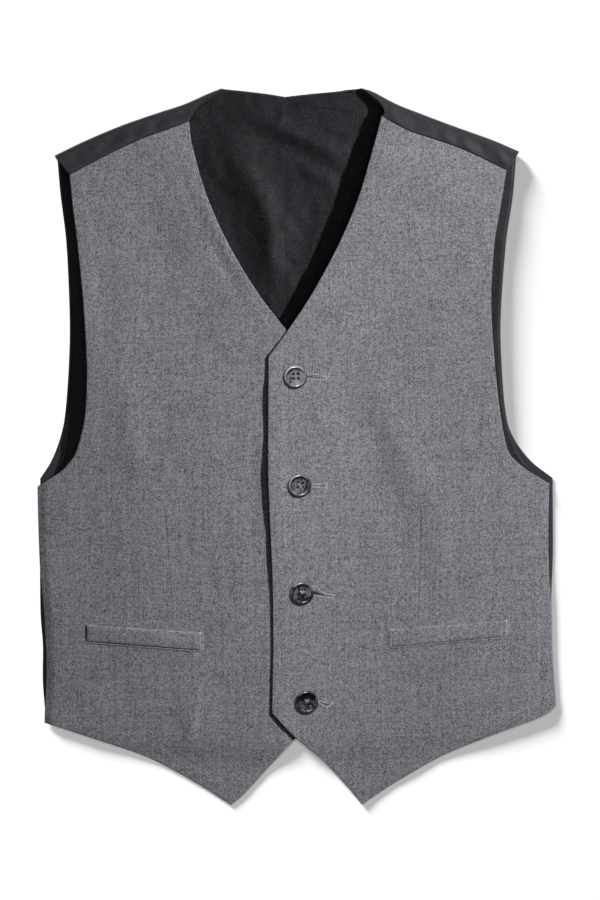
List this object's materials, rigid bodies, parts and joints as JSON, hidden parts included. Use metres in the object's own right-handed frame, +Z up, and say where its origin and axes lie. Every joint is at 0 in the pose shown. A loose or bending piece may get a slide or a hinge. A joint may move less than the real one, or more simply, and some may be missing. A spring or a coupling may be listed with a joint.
{
  "type": "suit waistcoat",
  "caption": "Boy's buttoned suit waistcoat lying flat: grey fronts with a V neck, pointed hem and welt pockets, black satin back.",
  "frame": {"origin": "on the surface it lies on, under the middle of the garment's box", "axes": "+X to the wearer's left, +Y from hem to neck, +Z up out of the surface"},
  "size_m": [0.3524, 0.4873, 0.0111],
  "materials": {
    "worsted": "fine mid-grey heathered worsted",
    "satin": "black satin with a soft sheen",
    "lining": "black lining twill",
    "horn": "smoke-grey marbled, polished"
  },
  "bodies": {
    "root": {"front_left": "worsted", "front_right": "worsted", "pocket_welt_left": "worsted", "pocket_welt_right": "worsted", "back_left": "satin", "back_right": "satin", "back_lining_left": "lining", "back_lining_right": "lining", "button_1": "horn", "button_2": "horn", "button_3": "horn", "button_4": "horn"}
  },
  "joints": []
}
